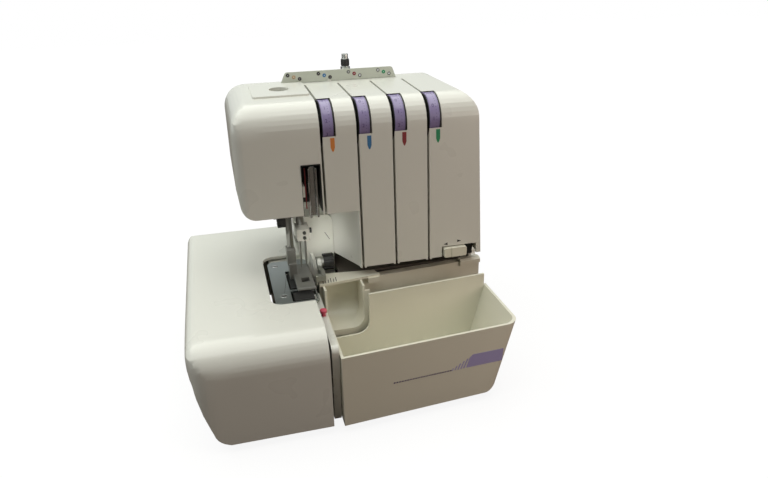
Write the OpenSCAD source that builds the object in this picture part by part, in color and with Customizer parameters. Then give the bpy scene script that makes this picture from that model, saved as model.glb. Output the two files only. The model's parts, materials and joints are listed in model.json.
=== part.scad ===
// Four-thread serger (overlock machine) with free-arm extension table and waste tray.
// X runs to the operator's right, Y towards the back, Z up from the surface it stands on.
// The modules work from the first thread slot (X), the front face of the panels (Y) and
// the table top (Z); at_origin() moves the whole model to the bottom centre of its box.

/* [Casing] */
// Distance from one thread slot to the next
slot_pitch = 33; // [31:0.5:36]
// Width of a thread slot
slot_w = 2.2; // [1.8:0.1:2.6]
// Depth of a thread slot behind the face
slot_depth = 20; // [14:1:20]
// How far back over the top the slots run
slot_end = 92; // [70:1:98]
// Wall of the moulded casings
casing_wall = 3; // [2:0.5:4]
// Height of the flat top at its front edge
casing_top = 262; // [256:1:275]
// Rise of the top towards the back
top_rise = 2.5; // [0:0.5:4]
// Front face to rear wall
casing_depth = 128; // [122:1:140]
// Depth of the front shell, up to its seam with the rear shell
front_shell_depth = 112; // [109:1:114]
// Lower edge of the front panels
panel_bottom = 103.7; // [100:0.5:106]
// Angle by which the front face leans back
front_lean = 2.3; // [0:0.1:4]
// Angle by which the right wall leans in
side_lean = 1.8; // [0:0.1:3]
// Width of the last panel at its lower edge
last_panel_w = 54.2; // [50:1:60]
// Radius between the front face and the top
top_fillet = 25; // [23:1:28]
// Radius between the top and the right wall
side_fillet = 24; // [12:1:30]
// Radius between the top and the rear wall
rear_fillet = 12; // [6:1:14]

/* [Sewing head] */
// Reach of the head to the left of the first slot
head_reach = 78; // [74:1:84]
// Height of the head's lower edge
head_bottom = 162; // [158:1:166]
// Radius between the head's top and its left wall
head_fillet = 24; // [14:1:30]
// Plan radius of the head's front left edge
head_corner = 10; // [4:1:14]
// Left edge of the take-up opening, from the first slot
opening_left = 20.4; // [19:0.2:22]
// Right edge of the take-up opening, from the first slot
opening_right = 2.4; // [2.2:0.1:3.4]
// Top of the take-up opening
opening_top = 209; // [200:1:215]
// Height of the raised pad over the top
pad_rise = 1.6; // [0.5:0.1:2]
// Diameter of the hole for the pressure screw
pressure_hole_d = 18.5; // [14:0.5:20]

/* [Tension dials] */
// Radius of a tension dial
dial_r = 21.5; // [20:0.1:22]
// Width of a tension dial
dial_w = 10.8; // [9:0.1:11.2]
// Distance of the dial axis behind the front face's foot
dial_y = 26; // [25:0.1:28]
// Depth of the dial axis below the top
dial_drop = 22; // [21.6:0.1:24]
// Width of a dial window, from the middle of its slot
window_w = 13.2; // [13:0.1:15]
// Height of a dial window's lower edge below the top
window_drop = 28.7; // [26:0.1:32]
// Diameter of the tension studs
stud_d = 6; // [4:0.5:8]

/* [Free arm and needle] */
// Height of the needle plate's upper face
plate_top = 94; // [92:0.5:95]
// Needle plate, width
plate_w = 39.5; // [38:0.5:40]
// Needle plate, front to back
plate_l = 95; // [90:1:96]
// Left edge of the needle plate, left of the first slot
plate_left = 55.5; // [55:0.5:57]
// Front edge of the needle plate, ahead of the panels' foot
plate_front = 37.5; // [36:0.5:38]
// Thickness of the needle plate
plate_t = 2.5; // [2:0.1:3]
// Stroke of the needle bar
needle_stroke = 26; // [20:1:28]
// Diameter of the needle bar
needle_bar_d = 7.2; // [6:0.2:8]
// Diameter of the presser bar
presser_bar_d = 6.5; // [5:0.1:7]

/* [Extension table] */
// Reach of the table to the left of the first slot
table_reach = 135; // [125:1:150]
// Right edge of the table, left of the first slot
table_right = 20.5; // [20:0.5:22]
// Front edge of the table, ahead of the panels' foot
table_front = 105.4; // [100:0.5:107]
// Rear edge of the table
table_rear = 155; // [150:1:160]
// Height of the table's sewing surface
table_top = 96.5; // [96:0.1:97.5]
// Radius between the table's top and its front
table_fillet = 24; // [12:1:28]
// Wall of the table and of the waste tray
shell_wall = 2.8; // [2:0.1:3.5]
// Clearance under the table and the tray
floor_gap = 8; // [7:0.5:9]

/* [Front cover and waste tray] */
// Angle by which cover and tray sweep back to the right, in plan
sweep = 4.4; // [3:0.1:5]
// Height of the front cover's upper edge
cover_top = 90.5; // [87:0.5:91]
// Right end of the cover, past the first slot
cover_right = 157; // [155:0.5:158]
// Front left corner of the tray, ahead of the panels' foot
tray_front = 107.7; // [105:0.1:112]
// Gap between the cover's face and the tray's rear wall
tray_gap = 27; // [26:0.5:30]
// Right edge of the tray at its rim
tray_right = 153.4; // [150:0.2:156]
// Height of the tray's rim
tray_rim = 76; // [70:0.5:80]
// Height of the tray's rear wall
tray_back_top = 88; // [84:0.5:90]
// Lower edge of the cut-out in the tray's rear wall
chute_sill = 47.5; // [46:0.5:52]
// Right edge of the cut-out in the tray's rear wall
chute_right = 31; // [31:0.5:34]

/* [Drive] */
// Diameter of the main shaft
shaft_d = 12; // [10:1:14]
// Distance of the main shaft behind the panels' foot
shaft_y = 88; // [86:1:90]
// Height of the main shaft
shaft_z = 58; // [55:1:60]
// Radius of the handwheel
wheel_r = 35; // [28:1:38]
// Width of the handwheel
wheel_w = 17; // [12:1:22]
// Radius of the driven pulley
big_pulley_r = 21; // [18:1:22]
// Radius of the motor pulley
small_pulley_r = 7; // [6:0.5:8]
// Distance of the motor shaft behind the panels' foot
motor_y = 46; // [44:1:48]
// Radius of the motor
motor_r = 22; // [18:1:23]

/* [Thread stand] */
// Rear edge of the spool stand
stand_rear = 196; // [195:1:210]
// Distance of the telescopic pole from the first slot
pole_x = 51; // [45:1:57]
// Diameter of the pole's outer tube
pole_d = 10; // [9:0.5:12]
// Height of the pole's tip when it is pushed down
pole_top_z = 285; // [280:1:300]
// Height of a spool pin above the stand
spool_pin_h = 75; // [55:1:90]
// Diameter of a cone holder's foot
cone_d = 36; // [30:1:38]
// Height of the thread guide plate
guide_plate_h = 10.5; // [8:0.5:14]

/* [Fits] */
// Clearance between bodies that move past each other
gap = 0.3; // [0.3:0.05:0.5]
// Radial clearance of a turning or sliding fit
fit = 0.05; // [0.02:0.01:0.08]

/* [Hidden] */
$fn = 40;

// Colours
body_white = [0.85, 0.85, 0.80];
cover_cream = [0.80, 0.78, 0.70];
dark_trim = [0.10, 0.10, 0.10];
bright_steel = [0.75, 0.77, 0.80];
cast_grey = [0.45, 0.46, 0.47];
dial_purple = [0.47, 0.39, 0.63];

// Casing places
slot_count = 4;
slots = [for (i = [0:slot_count - 1]) i * slot_pitch];
side_x0 = slots[slot_count - 1] + last_panel_w;
channel_wall = 1.8;
dial_z = casing_top - dial_drop;
window_z = casing_top - window_drop;
pocket = 0.6;
dial_x = slot_w / 2 + 0.4;
opening_depth = 34;
pad_l = 54;
pad_y0 = 45;
pad_y1 = 100;
pressure_x = -27.5;
pressure_y = 73;
base_top = floor_gap - gap;
base_t = 4.2;
foot_h = base_top - base_t;

// Needle area places
bar_y = 14;
bar_x = -23.5;
presser_x = -33.5;
presser_y = 21;
clamp_z = 139;
clamp_h = 11;
needle_x = [-26.5, -21.5];
needle_y = 1;
needle_tip = plate_top + 17;
foot_x = -24;
neck_left = -15.5;
neck_right = 12;
neck_front = 43;
neck_top = 145;
knob_y = 29;
knob_z = 101;
looper_y = 9;

// Cover and tray places
cover_left = -11.6;
cover_y0 = -1.2;
cover_t = 2.6;
rod_y = 17;
rod_z = 19;
rod_d = 5;
tray_left = -11.7;
tray_slope = tan(sweep);
tray_back_y = cover_y0 - tray_gap + (tray_left - cover_left) * tray_slope;
partition_left = 18.4;
partition_right = 12.2;
selector_left = 112.5;
selector_right = 148.4;
selector_top = 114.3;

// Outer faces of the whole machine
wheel_gap = 2.2;
wheel_face_x = side_x0 + wheel_gap + wheel_w;
mid_x = (wheel_face_x - table_reach) / 2;
mid_y = (stand_rear - tray_front) / 2;

function arc(c, r, a0, a1, n = 9) = [for (i = [0:n]) let (a = a0 + (a1 - a0) * i / n) c + r * [cos(a), sin(a)]];
function front_y(z) = (z - panel_bottom) * tan(front_lean);
function side_x(z) = side_x0 - max(z - panel_bottom, 0) * tan(side_lean);
function sweep_y(x) = (x - cover_left) * tray_slope;

module at_origin() translate([-mid_x, -mid_y, 0]) children();
// A profile drawn in (Y, Z) and run along X
module along_x(x0, x1) translate([x0, 0, 0]) rotate([90, 0, 90]) linear_extrude(x1 - x0) children();
// A profile drawn in (X, Z) and run along Y
module along_y(y0, y1) translate([0, y1, 0]) rotate([90, 0, 0]) linear_extrude(y1 - y0) children();
module box(a, b) translate(a) cube(b - a);
module rod_x(x0, x1, y, z, r) translate([x0, y, z]) rotate([0, 90, 0]) cylinder(h = x1 - x0, r = r);
module rod_y(y0, y1, x, z, r) translate([x, y0, z]) rotate([-90, 0, 0]) cylinder(h = y1 - y0, r = r);
module rod_z(z0, z1, x, y, r) translate([x, y, z0]) cylinder(h = z1 - z0, r = r);
module rounded_plan(a, b, r) {
    x0 = a[0] + r; x1 = b[0] - r; y0 = a[1] + r; y1 = b[1] - r;
    polygon(concat(arc([x1, y1], r, 0, 90), arc([x0, y1], r, 90, 180), arc([x0, y0], r, 180, 270),
        arc([x1, y0], r, 270, 360)));
}

// ---- Casings ----
// Outline of the casing seen from the side, moved in by g and run down to the height low
function side_outline(g, low) =
    let (zc = casing_top - top_fillet, top = casing_top + top_rise, rr = max(rear_fillet - g, 1))
    concat([[front_y(low) + g, low]],
        arc([front_y(zc) + top_fillet, zc], top_fillet - g, 180, 90),
        arc([casing_depth - g - rr, top - g - rr], rr, 90, 0),
        [[casing_depth - g, low]]);

// Outline of the casing seen from the front; body_left and body_low set where the body goes down
function front_outline(g, body_left, body_low) =
    let (low = g > 0 ? 1 : 0, top = casing_top + top_rise, zr = top - side_fillet,
         zl = top - head_fillet, foot_r = 14, foot_x = foot_r + 2 - head_reach)
    concat([[body_left + g, body_low - low], [side_x0 - g, body_low - low], [side_x0 - g, panel_bottom]],
        arc([side_x(zr) - side_fillet, zr], side_fillet - g, 0, 90),
        arc([head_fillet - head_reach, zl], head_fillet - g, 90, 180),
        [[g - head_reach, head_bottom + 28]],
        arc([foot_x, head_bottom + foot_r], foot_r - g, 190, 270),
        [[foot_x, head_bottom - low], [body_left + g, head_bottom - low]]);

module casing_envelope(g, body_left, body_low) intersection() {
    along_y(-20, casing_depth + 20) polygon(front_outline(g, body_left, body_low));
    along_x(-head_reach - 10, side_x0 + 10) polygon(side_outline(g, body_low - 2));
    translate([0, 0, panel_bottom]) rotate([-front_lean, 0, 0]) translate([0, 0, -150]) linear_extrude(400)
        polygon(concat(arc([head_corner - head_reach, head_corner], head_corner - g, 180, 270),
            [[side_x0 + 20, g], [side_x0 + 20, 300], [g - head_reach, 300]]));
}

// The wedge taken off panel 1 beside the needle: its face runs from the second slot back to
// the neck, and curves forwards again above it. g moves it in by a wall
wedge_x = slot_pitch - 1.5;
wedge_left = -6;
wedge_reach = (wedge_x - wedge_left) * (neck_front + 1) / (wedge_x - neck_right);
wedge_top = head_bottom - 1;
module wedge_slice(z, h, share) translate([0, front_y(z) - 1, z]) linear_extrude(h)
    polygon([[wedge_x, 0], [wedge_left, 0], [wedge_left, wedge_reach * share]]);
module needle_side_cut(g) translate([0, g * 1.2, g]) hull() {
    wedge_slice(panel_bottom - 10, neck_top - panel_bottom + 8, 1);
    wedge_slice(neck_top + 6, 0.1, 0.8);
    wedge_slice(neck_top + 12, 0.1, 0.42);
    wedge_slice(wedge_top, 0.1, 0.02);
}

module slot_bands(half_w, depth) for (x = slots) along_x(x - half_w, x + half_w) difference() {
    polygon(side_outline(-1, panel_bottom - 2));
    polygon(side_outline(depth, panel_bottom - 4));
}

module dial_pockets(r, x0, x1) for (x = slots) rod_x(x + x0, x + x1, dial_y, dial_z, r);

module front_casing() color(body_white) difference() {
    union() {
        difference() {
            casing_envelope(0, slot_w / 2, panel_bottom);
            casing_envelope(casing_wall, slot_w / 2, panel_bottom);
            needle_side_cut(0);
        }
        // wall behind the wedge
        intersection() {
            casing_envelope(0, slot_w / 2, panel_bottom);
            difference() {
                needle_side_cut(casing_wall);
                needle_side_cut(0);
            }
        }
        // channels behind the slots
        difference() {
            intersection() {
                casing_envelope(0.01, slot_w / 2, panel_bottom);
                slot_bands(slot_w / 2 + channel_wall, slot_depth + channel_wall);
            }
            needle_side_cut(0);
        }
        pad_and_rim();
    }
    // everything behind the seam belongs to the rear shell
    box([-200, front_shell_depth, 0], [300, 300, 400]);
    intersection() {
        slot_bands(slot_w / 2, slot_depth);
        box([-50, -50, 0], [300, slot_end, 400]);
    }
    for (x = slots) box([x, -5, window_z], [x + window_w, dial_y + 1.5, casing_top + 20]);
    dial_pockets(dial_r + pocket, 0, window_w);
    // take-up opening
    box([-opening_left, -5, head_bottom - 5], [-opening_right, opening_depth, opening_top]);
    rod_z(casing_top - 10, casing_top + 10, pressure_x, pressure_y, pressure_hole_d / 2);
    along_y(neck_front - gap, casing_depth) polygon(neck_outline(gap));
    // opening for the stitch selector
    box([selector_left, -5, panel_bottom - 5], [selector_right, 12, selector_top]);
    // hole for the stitch length dial
    rod_x(side_x0 - 20, side_x0 + 10, length_dial_y, length_dial_z, length_hub_r + gap);
    // room for the knife knob
    rod_x(-5, 10, knob_y, knob_z, knob_r + 1);
}
module pad_and_rim() difference() {
    intersection() {
        translate([0, 0, casing_top - 4]) linear_extrude(10) rounded_plan([-pad_l, pad_y0], [-2, pad_y1], 3);
        translate([0, 0, pad_rise]) casing_envelope(0, slot_w / 2, panel_bottom);
    }
    casing_envelope(casing_wall, slot_w / 2, panel_bottom);
}

// The rear shell closes the back from the head down to the base
rear_left = -19.6;
vent_count = 9;
module rear_casing() color(body_white) difference() {
    casing_envelope(0, rear_left, floor_gap + 2);
    casing_envelope(casing_wall, rear_left, floor_gap + 2);
    box([-200, -100, 0], [300, front_shell_depth + 0.2, 400]);
    // cut for the lifter lever
    box([lever_x - 5, casing_depth - 8, lever_z - 8], [lever_x + 5, casing_depth + 5, lever_z + 26]);
    for (i = [0:vent_count - 1]) box([100 + 4.5 * i, casing_depth - 8, 28], [102 + 4.5 * i, casing_depth + 5, 60]);
}

// Lower right cover over the belt, with the openings for shaft, switch and inlet
module side_cover() color(body_white) difference() {
    union() {
        box([side_x0 - casing_wall, rod_y + 7, base_top], [side_x0, front_shell_depth, panel_bottom - gap]);
        // ears that the switch rocks between
        for (y = [switch_y - 9, switch_y + 7.2])
            box([switch_axis_x - 4, y, switch_z - 4], [side_x0 - casing_wall + 1, y + 1.8, switch_z + 4]);
    }
    rod_y(switch_y - 10, switch_y + 10, switch_axis_x, switch_z, switch_pin_r + fit);
    rod_x(side_x0 - 20, side_x0 + 10, shaft_y, shaft_z, shaft_d / 2 + 1);
    box([side_x0 - 20, switch_y - 7, switch_z - 10.6], [side_x0 + 10, switch_y + 7, switch_z + 10.6]);
    box([side_x0 - 20, inlet_y - 9, inlet_z - 8], [side_x0 + 10, inlet_y + 9, inlet_z + 8]);
}

module table_partition() color(body_white) difference() {
    intersection() {
        box([-partition_left, 2 - table_front, base_top], [-partition_right, -4, tray_rim + 8]);
        along_x(-30, 0) polygon(concat([[10 - table_front, base_top]],
            arc([9 - table_front, tray_rim + 2], 6, 180, 90), [[-4, tray_rim + 8], [-4, base_top]]));
    }
    rod_z(tray_rim - 4, tray_rim + 9, button_x, button_y, 2 + fit);
}

// ---- Base ----
base_left = 62;
base_front = 74;
base_tongue = 100;
base_right = side_x0 - 4;
base_rear = casing_depth - 6;
module base_plate() color(dark_trim) translate([0, 0, foot_h]) linear_extrude(base_t) {
    rounded_plan([-base_left, -16], [base_right, base_rear], 8);
    rounded_plan([-base_left, -base_front], [base_tongue, 20], 8);
}

foot_r = 9;
foot_places = [[14 - base_left, 14 - base_front], [base_tongue - 14, 14 - base_front],
    [14 - base_left, base_rear - 14], [base_right - 16, base_rear - 14]];
module rubber_feet() color(dark_trim) for (p = foot_places) rod_z(0, foot_h, p[0], p[1], foot_r);

// The painted casting: base walls, neck, arm and the bosses that guide both bars
wall_l_x = -16;
wall_r_x = 112;
frame_wall = 10;
arm_low = 178;
arm_high = 222;
boss_h = 10;
frame_rear = front_shell_depth - 4;
arm_rail_left = plate_left - 2.5;
function neck_outline(g) = concat([[neck_left - g, 74], [neck_right + g, 74]],
    arc([neck_right - 8, neck_top - 8], 8 + g, 0, 90), [[neck_left - g, neck_top + g]]);
module machine_frame() color(body_white) difference() {
    union() {
        // bearing walls, and the beam that ties them
        for (x = [wall_l_x, wall_r_x]) box([x, 66, base_top], [x + frame_wall, frame_rear, shelf_z]);
        box([wall_l_x, frame_rear - 6, base_top], [wall_r_x + frame_wall, frame_rear, shelf_z]);
        // neck beside the needle, with its rounded shoulder
        along_y(neck_front, frame_rear) polygon(neck_outline(0));
        box([neck_left, 66, neck_top - 4], [-3, frame_rear, arm_high]);
        // arm inside the head, and the two bosses for the bars
        box([-66, 66, arm_low], [-3, frame_rear, arm_high]);
        for (z = [arm_low, arm_high - boss_h])
            box([presser_x - 7, front_y(z + boss_h) + casing_wall + gap, z], [bar_x + 6, 67, z + boss_h]);
        // stud that the knife arm turns on
        box([-12.5, knob_y - 5, knob_z - 5], [-9.3, neck_front + 1, knob_z + 5]);
        rod_x(-10, 6, knob_y, knob_z, 2.5);
        // fork and pin of the lifter lever
        for (x = [lever_x - 6.6, lever_x + 4.3]) box([x, frame_rear - 1, lever_z - 4], [x + 2.3, 124.6, lever_z + 4]);
        rod_x(lever_x - 5, lever_x + 5, 121, lever_z, 1.6);
        // free arm under the needle plate
        box([-arm_rail_left, 62 - 4, 46], [neck_left + 1, frame_rear, plate_top - plate_t]);
        box([-arm_rail_left, -plate_front, 46], [-arm_rail_left + 6, 62, plate_top - plate_t]);
        box([-arm_rail_left, -plate_front, 46], [-partition_left - 1, -plate_front + 4, plate_top - plate_t - 2]);
        for (s = plate_screws) rod_z(80, plate_top - plate_t, s[0], s[1], 4.5);
    }
    for (z = [arm_low, arm_high - boss_h]) {
        rod_z(z - 1, z + boss_h + 1, bar_x, bar_y, needle_bar_d / 2 + fit);
        rod_z(z - 1, z + boss_h + 1, presser_x, presser_y, presser_bar_d / 2 + fit);
    }
    for (x = [wall_l_x, wall_r_x]) rod_x(x - 1, x + frame_wall + 1, shaft_y, shaft_z, bush_r);
    for (l = looper_hubs) rod_y(50, frame_rear - 20, l[0], l[1], looper_shaft_r + fit);
}

shelf_z = 86;
module frame_shelf() color(dark_trim) box([neck_right + 0.5, 22, shelf_z], [side_x0 - 12, 84, shelf_z + 3]);

bush_r = shaft_d / 2 + 3;
module main_shaft_bushes() color("peru") for (x = [wall_l_x, wall_r_x]) difference() {
    rod_x(x, x + frame_wall, shaft_y, shaft_z, bush_r);
    rod_x(x - 1, x + frame_wall + 1, shaft_y, shaft_z, shaft_d / 2 + fit);
}

// ---- Top ----
guide_y = 103.5;
guide_t = 1.6;
guide_x0 = -22;
guide_x1 = 96;
guide_foot_z = casing_top + top_rise;
function guide_hole(i, j) = [guide_x0 + 7.5 + i * 30.6 + j * 5.8, guide_foot_z + guide_plate_h * (0.72 - 0.19 * j)];
module thread_guide_plate() color(bright_steel) difference() {
    union() {
        along_y(guide_y, guide_y + guide_t) polygon(concat([[guide_x0, guide_foot_z - 0.2],
            [guide_x1, guide_foot_z - 0.2]],
            arc([guide_x1 - 6, guide_foot_z + guide_plate_h - 3], 3, 20, 90),
            arc([guide_x0 + 7, guide_foot_z + guide_plate_h - 3], 3, 90, 160)));
        // foot that the plate is screwed down by
        box([guide_x0 + 4, guide_y, guide_foot_z - 0.2], [guide_x1 - 4, guide_y + 6, guide_foot_z + 1.2]);
    }
    for (i = [0:slot_count - 1], j = [0:2]) rod_y(guide_y - 1, guide_y + guide_t + 1, guide_hole(i, j)[0],
        guide_hole(i, j)[1], 1.25);
}

module pressure_screw() color(body_white) difference() {
    union() {
        rod_z(casing_top - 16, casing_top - 5, pressure_x, pressure_y, pressure_hole_d / 2 - gap);
        rod_z(arm_high + gap, casing_top - 15, pressure_x, pressure_y, 4);
    }
    box([pressure_x - 6, pressure_y - 0.8, casing_top - 7], [pressure_x + 6, pressure_y + 0.8, casing_top]);
}

// ---- Tension units ----
stud_len = 22;
disc_r = 9;
module tension_bracket() color(bright_steel) {
    // the plate stays under the slot channels
    box([-14, 54, dial_z - 20], [slots[3] + stud_len, 56, casing_top - slot_depth - channel_wall - 0.8]);
    box([-14, 54, dial_z - 30], [-11, 66, dial_z - 18]);
    for (x = slots) {
        difference() {
            box([x + stud_len - 2, dial_y - 8, dial_z - 8], [x + stud_len, 55, dial_z + 8]);
            rod_x(x + stud_len - 3, x + stud_len + 1, dial_y, dial_z, stud_d / 2);
        }
        rod_x(x + dial_x + 0.2, x + stud_len + 3, dial_y, dial_z, stud_d / 2);
    }
}
module tension_discs() color(bright_steel) for (x = slots, k = [0, 1.4]) difference() {
    rod_x(x + dial_x + dial_w + 1.6 + k, x + dial_x + dial_w + 2.4 + k, dial_y, dial_z, disc_r);
    rod_x(x, x + stud_len, dial_y, dial_z, stud_d / 2);
}

module tension_dial(i) color(dial_purple) {
    x = slots[i] + dial_x;
    difference() {
        rod_x(x, x + dial_w, dial_y, dial_z, dial_r);
        rod_x(x - 1, x + dial_w + 1, dial_y, dial_z, stud_d / 2 + fit);
        // hollow sides leave a rim and a hub
        for (s = [x - 1, x + dial_w - 2.5]) difference() {
            rod_x(s, s + 3.5, dial_y, dial_z, dial_r - 3);
            rod_x(s - 1, s + 4.5, dial_y, dial_z, stud_d / 2 + 3);
        }
    }
}
module tension_dial_1() tension_dial(0);
module tension_dial_2() tension_dial(1);
module tension_dial_3() tension_dial(2);
module tension_dial_4() tension_dial(3);

// ---- Head fittings ----
module head_bottom_plate() color(cast_grey) difference() {
    box([-48, 6, head_bottom - 2], [-opening_left + 1, 60, head_bottom - 0.2]);
    rod_z(head_bottom - 5, head_bottom + 5, bar_x, bar_y, needle_bar_d / 2 + 1);
    rod_z(head_bottom - 5, head_bottom + 5, presser_x, presser_y, presser_bar_d / 2 + 1);
}
module thread_cutter() color(dark_trim) difference() {
    box([-45, -2 + 6, head_bottom - 10], [-37.5, 14, head_bottom - 2]);
    box([-46, 3, head_bottom - 8.5], [-41, 20, head_bottom - 7.5]);
}
// Bright channel that the needle threads run down in
module take_up_guide() color(bright_steel) {
    difference() {
        box([-13.4, 12, head_bottom - 7], [-4.8, 20, opening_top - 6]);
        box([-11.6, 11, head_bottom - 8], [-6.6, 18.5, opening_top - 5]);
    }
    box([-10.4, 19, arm_low + 6], [-7.8, 66, arm_low + 12]);
}

module needle_bar() color(bright_steel) rod_z(clamp_z + clamp_h, 250 - needle_stroke + 18, bar_x, bar_y,
    needle_bar_d / 2);
module needle_clamp() color(cast_grey) difference() {
    box([bar_x - 5.2, needle_y - 2.5, clamp_z], [bar_x + 6.5, bar_y + needle_bar_d / 2, clamp_z + clamp_h]);
    for (x = needle_x) rod_z(clamp_z - 1, clamp_z + clamp_h - 2, x, needle_y, 1.05);
}
module needle_clamp_screws() color(dark_trim) {
    for (z = [clamp_z + 3, clamp_z + 8]) rod_y(needle_y - 4, needle_y - 2.5, bar_x + 1.5, z, 1.6);
    rod_x(bar_x + 6.5, bar_x + 9.5, bar_y - 5, clamp_z + 5.5, 2.6);
}
module needles() color(bright_steel) for (x = needle_x) {
    rod_z(needle_tip + 7, clamp_z + clamp_h - 2, x, needle_y, 1);
    translate([x, needle_y, needle_tip]) cylinder(h = 7, r1 = 0.3, r2 = 0.9, $fn = 24);
}

sole_t = 3;
sole_z = plate_top + 0.7;
module presser_bar() color(bright_steel) rod_z(sole_z + 30, 244, presser_x, presser_y, presser_bar_d / 2);
module presser_foot() color(cast_grey) difference() {
    union() {
        // shank that the bar stands in
        box([presser_x - 4.5, presser_y - 8, sole_z + 14], [presser_x + 3.8, presser_y + 5, sole_z + 30]);
        box([presser_x - 3.5, presser_y - 10, sole_z], [presser_x + 3.8, presser_y + 2, sole_z + 16]);
        // sole with its raised toe
        along_x(foot_x - 9.5, foot_x + 7.5) polygon([[38, sole_z], [38, sole_z + sole_t], [8, sole_z + sole_t + 2],
            [-14, sole_z + sole_t], [-21, sole_z + sole_t + 3], [-22, sole_z + sole_t + 1], [-16, sole_z]]);
    }
    box([needle_x[0] - 1.2, needle_y - 5, sole_z - 1], [needle_x[1] + 1.2, needle_y + 2.5, sole_z + 12]);
}

screw_head_r = 3.2;
plate_screws = [[-48.3, 47], [-46.7, -19]];
dog_x0 = -39;
dog_x1 = -18.6;
module needle_plate() color(bright_steel) difference() {
    translate([0, 0, plate_top - plate_t]) linear_extrude(plate_t)
        rounded_plan([-plate_left, -plate_front], [plate_w - plate_left, plate_l - plate_front], 7);
    // windows for the differential and the main feed dog, and for the needles
    box([dog_x0 - 1, -32, plate_top - 5], [dog_x1 + 1, -11, plate_top + 5]);
    box([dog_x0 - 1, -8, plate_top - 5], [dog_x0 + 9, 32, plate_top + 5]);
    box([needle_x[0] - 1.5, needle_y - 3, plate_top - 5], [needle_x[1] + 1.5, needle_y + 3, plate_top + 5]);
    for (s = plate_screws) translate([s[0], s[1], plate_top - 1.6]) cylinder(h = 5, r = screw_head_r);
}
module needle_plate_screws() color(bright_steel) for (s = plate_screws) difference() {
    rod_z(plate_top - 1.6, plate_top + 0.1, s[0], s[1], screw_head_r - 0.2);
    box([s[0] - 4, s[1] - 0.5, plate_top - 0.7], [s[0] + 4, s[1] + 0.5, plate_top + 1]);
}
dog_teeth_top = plate_top + 0.25;
module feed_dog(x0, x1, y0, y1) {
    box([x0, y0, plate_top - 14], [x1, y1, dog_teeth_top - 1]);
    for (y = [y0 + 1:2:y1 - 1.6]) along_x(x0, x1) polygon([[y, dog_teeth_top - 1.2], [y + 1.4, dog_teeth_top - 1.2],
        [y + 0.4, dog_teeth_top]]);
}
module main_feed_dog() color(bright_steel) {
    feed_dog(dog_x0 + 0.5, dog_x0 + 7.5, -4, 28);
    box([dog_x0 + 0.5, -4, plate_top - 18], [dog_x0 + 7.5, 40, plate_top - 13.5]);
}
module differential_feed_dog() color(bright_steel) {
    feed_dog(dog_x0 + 1, dog_x1 - 1, -29, -14);
    box([dog_x1 - 8, -29, plate_top - 21], [dog_x1 - 1, -6, plate_top - 14]);
}

knob_r = 8;
module knife_knob() color(dark_trim) difference() {
    union() {
        rod_x(-2, 8, knob_y, knob_z, knob_r - 1.2);
        for (a = [0:45:315]) translate([-2, knob_y, knob_z]) rotate([a, 0, 0]) translate([0, -1.6, knob_r - 2.6])
            cube([10, 3.2, 2.6]);
    }
    rod_x(-3, 6.3, knob_y, knob_z, 2.5 + fit);
}
// The arm turns with the knob on a stud in the neck and swings the blade up out of the way
module upper_knife() color(bright_steel) {
    difference() {
        union() {
            rod_x(-9, -2, knob_y, knob_z, 6);
            along_x(-9, -5) polygon(concat([[knob_y + 2, knob_z - 5]], arc([12, knob_z + 9.5], 15, 340, 230),
                [[-4, knob_z - 3], [-4, knob_z + 2]], arc([12, knob_z + 9.5], 9, 215, 350), [[knob_y, knob_z + 5]]));
        }
        rod_x(-10, 8, knob_y, knob_z, 2.5 + fit);
    }
    box([-14.2, -5, knob_z - 4], [-5, 1, knob_z + 1]);
    box([-14.2, -5, plate_top - 1], [-12.9, 1, knob_z - 3]);
}
module lower_knife() color(bright_steel) {
    box([-15.7, -3.5, 70], [-14.5, 2, plate_top + 0.2]);
    box([-15.7, -3.5, 70], [-12.4, 9, 76]);
}
looper_shaft_r = 4;
looper_hubs = [[-39, 56], [-26, 54]];
module looper(i, y, tip) {
    h = looper_hubs[i];
    rod_y(y - 3, 74, h[0], h[1], looper_shaft_r);
    rod_y(y - 3, y + 5, h[0], h[1], 6.5);
    along_y(y - 1, y + 1.6) polygon(tip);
}
module lower_looper() color(bright_steel) looper(0, looper_y + 6, [[-42, 58], [-37, 58], [-36, 66],
    [-27, 69.5], [-26, 71], [-38, 71.5], [-41, 68]]);
module upper_looper() color(bright_steel) looper(1, looper_y - 6, [[-29, 56], [-23, 56], [-20, 66],
    [-21.5, 77], [-24, 82], [-24, 76], [-25, 67]]);

// ---- Drive ----
module main_shaft() color(bright_steel) rod_x(wall_l_x + 0.4, side_x0 + wheel_gap, shaft_y, shaft_z, shaft_d / 2);
pulley_x0 = 128;
pulley_x1 = 138;
module driven_pulley() color(dark_trim) difference() {
    union() {
        rod_x(pulley_x0, pulley_x1, shaft_y, shaft_z, big_pulley_r);
        rod_x(pulley_x1 - 0.01, pulley_x1 + 4, shaft_y, shaft_z, shaft_d / 2 + 4);
    }
    rod_x(pulley_x0 - 1, pulley_x1 + 5, shaft_y, shaft_z, shaft_d / 2);
}
module motor_pulley() color(bright_steel) {
    rod_x(pulley_x0, pulley_x1, motor_y, motor_z, small_pulley_r);
    rod_x(motor_x1 - 12, pulley_x0 + 1, motor_y, motor_z, 3);
}
motor_x0 = 54;
motor_x1 = 110;
motor_z = 50;
module motor() color(cast_grey) difference() {
    union() {
        rod_x(motor_x0, motor_x1 - 6, motor_y, motor_z, motor_r);
        rod_x(motor_x1 - 7, motor_x1, motor_y, motor_z, 9);
        box([motor_x0 + 8, motor_y - 14, base_top], [motor_x1 - 14, motor_y + 14, motor_z - motor_r + 6]);
    }
    rod_x(motor_x1 - 13, motor_x1 + 1, motor_y, motor_z, 3 + fit);
}
belt_t = 1.6;
module belt_loop(g) hull() {
    translate([shaft_y, shaft_z]) circle(big_pulley_r + g);
    translate([motor_y, motor_z]) circle(small_pulley_r + g);
}
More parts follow.
